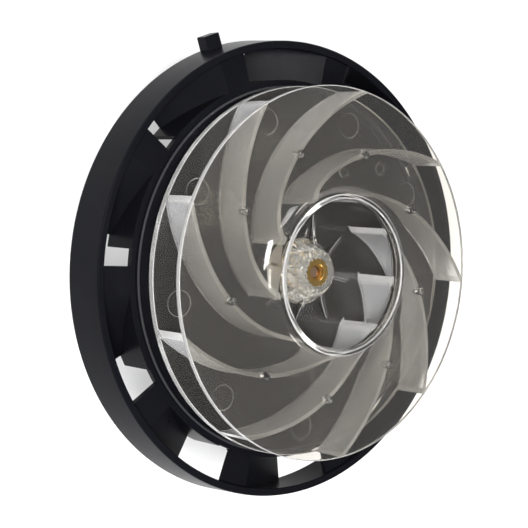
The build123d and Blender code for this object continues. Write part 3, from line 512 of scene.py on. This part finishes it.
def combined(base, tool, operation, finishes=4):
    """What is left when the tool's shells are joined to the base or cut from it; faces keep their finish."""
    holders = []
    for form in (base, tool):
        mesh = bpy.data.meshes.new("shell")
        form.to_mesh(mesh)
        form.free()
        for finish in range(finishes):
            mesh.materials.append(None)
        holder = bpy.data.objects.new("shell", mesh)
        bpy.context.scene.collection.objects.link(holder)
        holders.append(holder)
    fit = holders[0].modifiers.new("fit", "BOOLEAN")
    fit.operation = operation
    fit.solver = "EXACT"
    fit.use_self = True
    fit.object = holders[1]
    result = bmesh.new()
    result.from_object(holders[0], bpy.context.evaluated_depsgraph_get())
    for holder in holders:
        mesh = holder.data
        bpy.data.objects.remove(holder)
        bpy.data.meshes.remove(mesh)
    return result


def make_piece(name, form, body, materials, stands_for, crease=32):
    """Turns a form into a named piece that rides on a body and stands for the model's own nodes."""
    for edge in form.edges:
        edge.smooth = edge.calc_face_angle(math.pi) < math.radians(crease)
    for face in form.faces:
        face.smooth = True
    mesh = bpy.data.meshes.new(name)
    form.to_mesh(mesh)
    form.free()
    for material in materials:
        mesh.materials.append(material)
    piece = bpy.data.objects.new(name, mesh)
    bpy.context.scene.collection.objects.link(piece)
    smooth = piece.modifiers.new("flats_stay_flat", "WEIGHTED_NORMAL")
    smooth.keep_sharp = True
    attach(piece, body)
    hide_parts(*stands_for)
    return piece


frame_rim = turned(
    [
        (rim_front_radius - rim_wall, rim_front),
        (rim_front_radius, rim_front),
        (rim_rear_radius, rim_rear),
        (rim_rear_radius - rim_wall, rim_rear),
    ],
    {0: (rim_round, 4), 1: (rim_round, 4), 2: (rim_rear_round, 3), 3: (rim_rear_round, 3)},
    frame_steps,
)
frame_deck = turned(
    [
        (deck_bore, deck_rear),
        (guide_radius - wall_overlap, deck_rear),
        (guide_radius - wall_overlap, deck_front),
        (ridge_radius + ridge_width / 2, deck_front),
        (ridge_radius + ridge_width / 2, rim_front),
        (ridge_radius - ridge_width / 2, rim_front),
        (ridge_radius - ridge_width / 2, deck_front),
        (boss_radius, deck_front),
        (boss_radius, boss_front),
        (deck_bore, boss_front),
    ],
    {
        4: (crest_round, 3),
        5: (crest_round, 3),
        7: (boss_round, 3),
        8: (boss_round, 3),
        9: (boss_bore_round, 3),
    },
    frame_steps,
)
add_form(frame_rim, frame_deck)
frame_deck.free()

passage_count = 10
passage_turn = 360 / passage_count
first_lip_angle = 35.0
lip_bar_angle = 8.0
ramp_end_angle = 27.5
guide_end_angle = 31.0
guide_bite = 0.7
rim_bite = 1.2
passage_inner = guide_radius - guide_bite
passage_outer = rim_front_radius - rim_bite
ramp_end_gap = 0.7
ramp_overlap_angle = 0.01
ramp_drop = deck_front - rim_rear - ramp_end_gap
shells = bmesh.new()
bar = polar_slab(
    0, lip_bar_angle, 4, passage_inner, passage_outer, lambda share: deck_rear, lambda share: deck_front
)
ramp = polar_slab(
    lip_bar_angle - ramp_overlap_angle,
    ramp_end_angle,
    12,
    passage_inner,
    passage_outer,
    lambda share: max(deck_rear - ramp_drop * share, rim_rear),
    lambda share: deck_front - ramp_drop * share,
)
guide = polar_slab(
    lip_bar_angle,
    guide_end_angle,
    14,
    guide_radius - guide_wall,
    guide_radius,
    lambda share: rim_rear,
    lambda share: deck_front,
)
for number in range(passage_count):
    angle = first_lip_angle + number * passage_turn
    for part in (bar, ramp, guide):
        add_form(shells, part, angle)
for part in (bar, ramp, guide):
    part.free()

rib_inner = 40.3
rib_outer = 61.5
rib_width = 1.6
rib_depth = 3.0
rib_bite = 0.2
rib = bmesh.new()
bmesh.ops.create_cube(rib, size=1)
rib.transform(
    Matrix.Translation(((rib_inner + rib_outer) / 2 * mm, 0, (deck_rear - rib_depth / 2 + rib_bite) * mm))
    @ Matrix.Diagonal(((rib_outer - rib_inner) * mm, rib_width * mm, (rib_depth + 2 * rib_bite) * mm, 1))
)
for number in range(passage_count):
    add_form(shells, rib, first_lip_angle + lip_bar_angle / 2 + number * passage_turn)
rib.free()
screw_count = 4
screw_circle = 34.2
screw_post_radius = 3.6
screw_post_rear = 41.0
screw_post_bite = 0.5
screw_post_segments = 40
first_screw_angle = 45
screw_turn = 360 / screw_count
for number in range(screw_count):
    place = around(screw_circle, first_screw_angle + screw_turn * number)
    post = upright_post(
        screw_post_radius, screw_post_rear, deck_rear + screw_post_bite, place, screw_post_segments
    )
    add_form(shells, post)
    post.free()

tab_angle = 110.5
tab_end = 80.3
tab_front = 40.4
tab_length = 6.5
tab_width = 6.0
tab_height = 4.5
tab_round = 0.3
tab = bmesh.new()
bmesh.ops.create_cube(tab, size=1)
tab.transform(Matrix.Diagonal((tab_length * mm, tab_width * mm, tab_height * mm, 1)))
bmesh.ops.bevel(
    tab, geom=tab.edges[:], offset=tab_round * mm, segments=3, profile=0.5, affect="EDGES", material=-1
)
tab.transform(Matrix.Translation(((tab_end - tab_length / 2) * mm, 0, (tab_front - tab_height / 2) * mm)))
add_form(shells, tab, tab_angle)
tab.free()
frame_form = combined(frame_rim, shells, "UNION")
make_piece("diffuser_moulding", frame_form, "housing", [black], ["diffuser_frame"])

# Motor can and screws: the can is a cup drawn from zinc-plated steel sheet, with two rolled beads, and
# staked onto the stator's sheets by six punched dimples. The cap screws are cold-headed and plated too.
zinc, zinc_place = start_material("zinc_plate")
zinc_mottle = zinc_place.noise(350, 5)
set_surface(
    zinc,
    Base_Color=zinc_mottle.blend((0.30, 0.31, 0.32), (0.46, 0.46, 0.45)),
    Metallic=1.0,
    Roughness=0.28 + 0.14 * zinc_place.noise(500, 3),
    Normal=zinc_place.noise(900, 2).bump(0.03, 0.05 * mm),
)
dress(zinc, "bracket_screws", "rear_cover_screws")
can_outer = 28.0
can_inner = 26.8
can_rear = 16.5
can_floor = 17.7
can_front = 43.3
can_bore = 4.0
pocket_outer = 9.2
pocket_inner = 8.0
pocket_front = 23.2
bead_heights = (24.0, 35.0)
bead_depth = 0.45
bead_half_width = 0.9
can_outline = [(can_bore, can_rear), (can_outer, can_rear)]
for height in bead_heights:
    can_outline += [
        (can_outer, height - bead_half_width),
        (can_outer - bead_depth, height - bead_half_width / 2),
        (can_outer - bead_depth, height + bead_half_width / 2),
        (can_outer, height + bead_half_width),
    ]
can_outline += [
    (can_outer, can_front),
    (can_inner, can_front),
    (can_inner, can_floor),
    (pocket_outer, can_floor),
    (pocket_outer, pocket_front),
    (pocket_inner, pocket_front),
    (pocket_inner, can_floor),
    (can_bore, can_floor),
]
bead_round = 0.25
can_rear_round = 1.5
can_steps = 180
can_rounds = {corner: (bead_round, 3) for corner in range(2, 10)}
can_rounds[1] = (can_rear_round, 6)
can_form = turned(can_outline, can_rounds, can_steps)
dimple_radius = 1.6
dimple_depth = 0.6
dimple_count = 6
dimple_turn = 360 / dimple_count
dimple_height = 29.5
cutters = bmesh.new()
dimple = bmesh.new()
bmesh.ops.create_uvsphere(
    dimple,
    u_segments=32,
    v_segments=16,
    radius=dimple_radius * mm,
    matrix=Matrix.Translation(((can_outer + dimple_radius - dimple_depth) * mm, 0, dimple_height * mm)),
)
for number in range(dimple_count):
    add_form(cutters, dimple, dimple_turn / 2 + number * dimple_turn)
dimple.free()
screw_hole_ring = 14.0
screw_hole = 1.27
phase_hole_ring = 24.28
phase_hole = 1.6
floor_hole_count = 3
cut_overrun = 1.0
first_hole_angle = 90
hole_turn = 360 / floor_hole_count
hole_segments = 24
for ring_radius, hole_radius in ((screw_hole_ring, screw_hole), (phase_hole_ring, phase_hole)):
    for number in range(floor_hole_count):
        place = around(ring_radius, first_hole_angle + number * hole_turn)
        hole = upright_post(
            hole_radius, can_rear - cut_overrun, can_floor + cut_overrun, place, hole_segments
        )
        add_form(cutters, hole)
        hole.free()
can_form = combined(can_form, cutters, "DIFFERENCE")
make_piece("drawn_can", can_form, "housing", [zinc], ["motor_can"])

# Brass pieces: the knurled insert in the hub, the sleeve behind it and the balance discs, turned from bar.
# The insert has sixteen straight lobes round it, and the clear hub is moulded over them.
brass, brass_place = start_material("turned_brass")
brass_grain = brass_place.noise(900, 4)
set_surface(
    brass,
    Base_Color=brass_grain.blend((0.40, 0.24, 0.07), (0.70, 0.48, 0.17)),
    Metallic=1.0,
    Roughness=0.24 + 0.16 * brass_place.noise(1800, 3),
    Normal=brass_grain.bump(0.05, 0.05 * mm),
)
dress(brass, "impeller_spacer", "front_balance_disc", "rear_balance_disc")
insert_rear = 52.0
insert_front = 64.2
insert_radius = 4.85
insert_bore = 2.02
insert_mouth = 2.75
insert_mouth_depth = 0.9
insert_mouth_draft = 0.15
insert_step = 0.1
insert_round = 0.2
lobe_count = 16
lobe_depth = 0.6
insert_segments = 192
insert_rings = [
    (insert_bore, insert_rear, 0),
    (insert_radius - insert_round, insert_rear, lobe_depth),
    (insert_radius, insert_rear + insert_round, lobe_depth),
    (insert_radius, insert_front - insert_round, lobe_depth),
    (insert_radius - insert_round, insert_front, lobe_depth),
    (insert_mouth + insert_round, insert_front, 0),
    (insert_mouth, insert_front - insert_round, 0),
    (insert_mouth - insert_mouth_draft, insert_front - insert_mouth_depth, 0),
    (insert_bore, insert_front - insert_mouth_depth - insert_step, 0),
]


def lobed(radius, depth, angle):
    """The knurled outline's radius at an angle in radians: round lobes with sharp grooves between them."""
    return radius - depth * (1 - abs(math.cos(lobe_count / 2 * angle)))


insert_form = bmesh.new()
ring = bmesh.ops.create_circle(
    insert_form, cap_ends=False, segments=insert_segments, radius=insert_bore * mm
)
bmesh.ops.translate(insert_form, verts=ring["verts"], vec=(0, 0, insert_rear * mm))
edges = insert_form.edges[:]
for radius, height, depth in insert_rings[1:] + insert_rings[:1]:
    grown = bmesh.ops.extrude_edge_only(insert_form, edges=edges)["geom"]
    edges = [item for item in grown if isinstance(item, bmesh.types.BMEdge)]
    for vert in grown:
        if isinstance(vert, bmesh.types.BMVert):
            angle = math.atan2(vert.co.y, vert.co.x)
            reach = lobed(radius, depth, angle) * mm
            vert.co = Vector((reach * math.cos(angle), reach * math.sin(angle), height * mm))
bmesh.ops.remove_doubles(insert_form, verts=insert_form.verts, dist=1e-7)
bmesh.ops.recalc_face_normals(insert_form, faces=insert_form.faces)
make_piece("knurled_insert", insert_form, "rotor", [brass], ["hub_insert"])

# Impeller back plate: one clear moulding of the plate, the hub with its gussets, nine blades and their weld
# pins. The flat walls are polished in the mould, the blades come out slightly milky along their drawn
# sides, and the thick hub round the insert is uneven and full of glints.
clear, clear_place = start_material("clear_plastic")
clear_haze = clear_place.noise(70, 4)
clear_grain = clear_place.noise(260, 3)
set_surface(
    clear,
    Base_Color=clear_haze.blend((0.89, 0.855, 0.785), (0.96, 0.935, 0.885)),
    Roughness=0.015 + 0.05 * clear_grain,
    IOR=1.5,
    Transmission_Weight=0.993,
    Normal=clear_grain.bump(0.03, 0.1 * mm),
)
milky, milky_place = start_material("milky_clear_plastic")
milky_flow = milky_place.noise(90, 4)
milky_grain = milky_place.noise(700, 4)
set_surface(
    milky,
    Base_Color=milky_flow.blend((0.79, 0.79, 0.80), (0.935, 0.935, 0.94)),
    Roughness=0.08 + 0.16 * milky_grain,
    IOR=1.5,
    Transmission_Weight=0.84,
    Normal=milky_grain.bump(0.10, 0.1 * mm),
)
# Painted highlight: edges, ends, fillets and the blade tops in the eye get this whiter, less clear finish,
# partly a rougher frosted moulded edge and partly a painted highlight for the bright lines where they catch
# the light.
painted_edge_highlight, bright_place = start_material("clear_edge_painted_highlight")
bright_grain = bright_place.noise(1200, 4)
set_surface(
    painted_edge_highlight,
    Base_Color=bright_place.noise(150).blend((0.80, 0.79, 0.77), (0.95, 0.94, 0.93)),
    Roughness=0.12 + 0.2 * bright_grain,
    IOR=1.5,
    Transmission_Weight=0.80,
    Normal=bright_grain.bump(0.12, 0.05 * mm),
)
hub_clear, hub_place = start_material("thick_clear_hub")
hub_flow = hub_place.noise(200, 2)
set_surface(
    hub_clear,
    Base_Color=hub_flow.blend((0.92, 0.87, 0.74), (0.99, 0.97, 0.92)),
    Roughness=0.01 + 0.04 * hub_flow,
    IOR=1.5,
    Transmission_Weight=0.92,
    Normal=hub_flow.bump(1.0, 1.8 * mm),
)
plate_radius = 60.1
plate_rear = 55.4
plate_front = 57.6
hub_rear = 52.0
hub_front = 64.5
hub_bore = 4.87
hub_boss = 7.5
hub_base = 10.5
hub_top = 7.3
shroud_rear = 69.5
shroud_front = 71.3
eye_radius = 24.2
flare_width = 9.0
flare_height = 5.5
blade_gap = 0.05
blade_count = 9
blade_turn = 360 / blade_count
blade_thickness = 1.35
blade_start_angle = 155.2
blade_slope = 0.676
blade_steps = 56
blade_root = 0.4
hub_rear_round = 0.4
hub_foot_round = 0.9
hub_top_round = 1.6
plate_round = 0.25
impeller_steps = 192
bore_margin = 0.01
bright_rim = 0.3
impeller_form = turned(
    [
        (hub_bore, hub_rear),
        (hub_boss, hub_rear),
        (hub_boss, plate_rear),
        (plate_radius, plate_rear),
        (plate_radius, plate_front),
        (hub_base, plate_front),
        (hub_top, hub_front),
        (hub_bore, hub_front),
    ],
    {
        1: (hub_rear_round, 3),
        3: (plate_round, 3),
        4: (plate_round, 3),
        5: (hub_foot_round, 4),
        6: (hub_top_round, 6),
    },
    impeller_steps,
)
for vert in impeller_form.verts:
    if math.hypot(vert.co.x, vert.co.y) < (hub_bore + bore_margin) * mm:
        angle = math.atan2(vert.co.y, vert.co.x)
        reach = (hub_bore - insert_radius + lobed(insert_radius, lobe_depth, angle)) * mm
        vert.co.x = reach * math.cos(angle)
        vert.co.y = reach * math.sin(angle)
drawn = 1
lit_edge = 2
thick_hub = 3
# Painted highlight: the plate's outer rim gets the whiter edge finish; the hub's front gets its own clear
# finish.
for face in impeller_form.faces:
    middle = face.calc_center_median()
    reach = math.hypot(middle.x, middle.y)
    if reach > (plate_radius - bright_rim) * mm:
        face.material_index = lit_edge
    elif middle.z > plate_front * mm and reach < hub_base * mm:
        face.material_index = thick_hub


def passage_height(radius):
    """Height of the blade's top under the shroud, which rises in a quarter ellipse towards the eye."""
    reach = (eye_radius + flare_width - radius) / (flare_width + blade_gap)
    if reach <= 0:
        return shroud_rear - blade_gap
    return shroud_rear + flare_height - (flare_height + blade_gap) * math.sqrt(max(0.0, 1 - reach * reach))


blade = bmesh.new()
bmesh.ops.create_grid(blade, x_segments=blade_steps, y_segments=1, size=0.5)
blade_top = bmesh.ops.extrude_face_region(blade, geom=blade.faces[:])["geom"]
for vert in blade_top:
    if isinstance(vert, bmesh.types.BMVert):
        vert.co.z = 1
slant = math.hypot(1, blade_slope)
inner_end = eye_radius - blade_gap
blade_round = 0.22
sharp_corner = math.radians(30)
foot = blade.copy()
foot_flare = 0.35
foot_height = 0.43


def bend_blade(form, first_end, last_end, rear_thickness, front_thickness, front_height):
    """Bends a straight strip along the blade's line; front_height gives its top from the radius."""
    for vert in form.verts:
        share = vert.co.x + 0.5
        radius = first_end + (last_end - first_end) * share
        thickness = front_thickness if vert.co.z > 0.5 else rear_thickness
        half = thickness if vert.co.y > 0 else -thickness
        middle = radius - half / 2 / slant
        angle = blade_start_angle - math.degrees(math.log(middle / eye_radius) / blade_slope)
        angle += math.degrees(half / 2 * blade_slope / slant / middle)
        height = front_height(radius) if vert.co.z > 0.5 else plate_front - blade_root
        vert.co = Vector((*around(radius * mm, angle), height * mm))
    bmesh.ops.recalc_face_normals(form, faces=form.faces)


bend_blade(blade, inner_end, plate_radius, blade_thickness, blade_thickness, passage_height)
bend_blade(
    foot,
    inner_end - foot_flare,
    plate_radius - foot_flare,
    blade_thickness + 2 * foot_flare,
    blade_thickness - foot_flare,
    lambda radius: plate_front + foot_height,
)
# Painted highlight: the fillet at each blade's foot gets the whiter edge finish.
for face in foot.faces:
    face.material_index = lit_edge
for face in blade.faces:
    face.material_index = drawn
blade_corners = [
    edge
    for edge in blade.edges
    if max(vert.co.z for vert in edge.verts) > plate_front * mm and edge.calc_face_angle(0) > sharp_corner
]
rounded_blade = bmesh.ops.bevel(
    blade, geom=blade_corners, offset=blade_round * mm, segments=2, profile=0.5, affect="EDGES", material=-1
)
# Painted highlight: the blades' rounded top edges get the whiter edge finish.
for face in rounded_blade["faces"]:
    face.material_index = lit_edge
bright_end = 0.5
bright_eye_width = 6.0
# Painted highlight: the blades' ends and their upward-facing tops inside the eye get the whiter edge finish.
for face in blade.faces:
    middle = face.calc_center_median()
    reach = math.hypot(middle.x, middle.y)
    at_end = reach < (inner_end + bright_end) * mm or reach > (plate_radius - bright_rim) * mm
    in_eye = face.normal.z > 0.5 and reach < (eye_radius + bright_eye_width) * mm
    if at_end or in_eye:
        face.material_index = lit_edge
shells = bmesh.new()
for number in range(blade_count):
    add_form(shells, blade, number * blade_turn)
    add_form(shells, foot, number * blade_turn)
blade.free()
foot.free()

gusset_reach = 18.5
gusset_toe = 0.4
gusset_drop = 2.0
gusset_thickness = 1.1
gusset_bite = 1.0
gusset_round = 0.2
gusset_count = 8
gusset_angle = 35
gusset_turn = 360 / gusset_count
gusset_steps = 8
gusset_curve = 1.5
gusset = bmesh.new()
bmesh.ops.create_grid(gusset, x_segments=gusset_steps, y_segments=1, size=0.5)
for vert in gusset.verts:
    share = vert.co.x + 0.5
    radius = hub_top - gusset_bite + (gusset_reach - hub_top + gusset_bite) * share
    rise = (hub_front - gusset_drop - plate_front - gusset_toe) * (1 - share) ** gusset_curve + gusset_toe
    height = plate_front - blade_root if vert.co.y < 0 else plate_front + rise
    vert.co = Vector((radius * mm, -gusset_thickness / 2 * mm, height * mm))
side = bmesh.ops.extrude_face_region(gusset, geom=gusset.faces[:])["geom"]
bmesh.ops.translate(
    gusset,
    verts=[item for item in side if isinstance(item, bmesh.types.BMVert)],
    vec=(0, gusset_thickness * mm, 0),
)
bmesh.ops.recalc_face_normals(gusset, faces=gusset.faces)
gusset_edges = [
    edge
    for edge in gusset.edges
    if min(vert.co.z for vert in edge.verts) > plate_front * mm
    and abs(edge.verts[0].co.y - edge.verts[1].co.y) < gusset_thickness / 2 * mm
    and edge.calc_face_angle(0) > sharp_corner
]
rounded_gusset = bmesh.ops.bevel(
    gusset, geom=gusset_edges, offset=gusset_round * mm, segments=2, profile=0.5, affect="EDGES", material=-1
)
# Painted highlight: the gussets' rounded top edges get the whiter edge finish.
for face in rounded_gusset["faces"]:
    face.material_index = lit_edge
for number in range(gusset_count):
    add_form(shells, gusset, gusset_angle + gusset_turn * number)
gusset.free()

pin_ring = 40.5
pin_radius = 1.2
pin_angle = blade_start_angle - math.degrees(math.log(pin_ring / eye_radius) / blade_slope)
pin_root = 1.5
pin_rise = 0.2
pin_segments = 32
for number in range(blade_count):
    place = around(pin_ring, pin_angle + blade_turn * number)
    post = upright_post(pin_radius, shroud_rear - pin_root, shroud_front + pin_rise, place, pin_segments)
    add_form(shells, post)
    post.free()
gate_radius = 2.2
gate_rise = 0.5
gate_dimple = 1.3
gate_dimple_floor = 0.1
gate_round = 0.2
gate_dimple_round = 0.15
gate_steps = 40
gate_places = ((35, 65), (46.5, 48))
flat_enough = 0.97
gate = turned(
    [
        (0, plate_front - gate_rise),
        (gate_radius, plate_front - gate_rise),
        (gate_radius, plate_front + gate_rise),
        (gate_dimple, plate_front + gate_rise),
        (gate_dimple, plate_front + gate_dimple_floor),
        (0, plate_front + gate_dimple_floor),
    ],
    {2: (gate_round, 3), 3: (gate_dimple_round, 2)},
    gate_steps,
    closed=False,
)
for face in gate.faces:
    if abs(face.normal.z) < flat_enough:
        face.material_index = drawn
for radius, angle in gate_places:
    placed = gate.copy()
    bmesh.ops.translate(placed, verts=placed.verts, vec=(*around(radius * mm, angle), 0))
    add_form(shells, placed)
    placed.free()
gate.free()
bmesh.ops.triangulate(shells, faces=shells.faces[:])
impeller_form = combined(impeller_form, shells, "UNION")

ejector_ring = 51
ejector_radius = 4.2
ejector_depth = 0.15
ejector_angle = 111
ejector_step = 0.3
ejector_clearance = 1.0
ejector_steps = 64
mark = turned(
    [
        (0, plate_front - ejector_depth),
        (ejector_radius - ejector_step, plate_front - ejector_depth),
        (ejector_radius + ejector_step, plate_front + ejector_depth),
        (ejector_radius + ejector_step, plate_front + ejector_clearance),
        (0, plate_front + ejector_clearance),
    ],
    {},
    ejector_steps,
    closed=False,
)
for face in mark.faces:
    if abs(face.normal.z) < flat_enough:
        face.material_index = drawn
marks = bmesh.new()
for number in range(blade_count):
    placed = mark.copy()
    place = around(ejector_ring * mm, ejector_angle + blade_turn * number)
    bmesh.ops.translate(placed, verts=placed.verts, vec=(*place, 0))
    add_form(marks, placed)
    placed.free()
mark.free()
impeller_form = combined(impeller_form, marks, "DIFFERENCE")
make_piece(
    "impeller_moulding",
    impeller_form,
    "rotor",
    [clear, milky, painted_edge_highlight, hub_clear],
    ["impeller_back_plate"],
)

# Impeller shroud: a clear moulding, flat outside and drawn up into the collar round the air inlet.
# It sits on the blades' tops and is welded on over the nine pins.
eye_wall = 1.6
eye_front = 78.0
collar_round = 0.4
rim_edge_round = 0.25
shroud_steps = 240
shroud_bright_rim = 0.2
collar_bright_margin = 0.1
flare_steps = 10
flare_turns = [step / flare_steps * math.pi / 2 for step in range(flare_steps + 1)]


def flare(inner_radius, foot):
    """Points of a quarter ellipse from the collar's upright wall down to the shroud's flat foot."""
    return [
        (
            inner_radius + flare_width - flare_width * math.cos(turn),
            foot + flare_height - flare_height * math.sin(turn),
        )
        for turn in flare_turns
    ]


shroud_outline = [(eye_radius, eye_front)]
shroud_outline += flare(eye_radius, shroud_rear)
shroud_outline += [(plate_radius, shroud_rear), (plate_radius, shroud_front)]
shroud_outline += flare(eye_radius + eye_wall, shroud_front)[::-1]
shroud_outline += [(eye_radius + eye_wall, eye_front)]
shroud_form = turned(
    shroud_outline,
    {
        0: (collar_round, 3),
        flare_steps + 2: (rim_edge_round, 3),
        flare_steps + 3: (rim_edge_round, 3),
        len(shroud_outline) - 1: (collar_round, 3),
    },
    shroud_steps,
)
pin_gap = 0.15
pin_holes = bmesh.new()
for number in range(blade_count):
    place = around(pin_ring, pin_angle + blade_turn * number)
    hole = upright_post(
        pin_radius + pin_gap, shroud_rear - cut_overrun, shroud_front + cut_overrun, place, pin_segments
    )
    add_form(pin_holes, hole)
    hole.free()
shroud_form = combined(shroud_form, pin_holes, "DIFFERENCE")
# Painted highlight: the shroud's outer rim and the collar's rounded top get the whiter edge finish.
for face in shroud_form.faces:
    middle = face.calc_center_median()
    if math.hypot(middle.x, middle.y) > (plate_radius - shroud_bright_rim) * mm:
        face.material_index = lit_edge
    if middle.z > (eye_front - collar_round - collar_bright_margin) * mm and face.normal.z < flat_enough:
        face.material_index = lit_edge
make_piece(
    "shroud_moulding", shroud_form, "rotor", [clear, milky, painted_edge_highlight], ["impeller_shroud"]
)
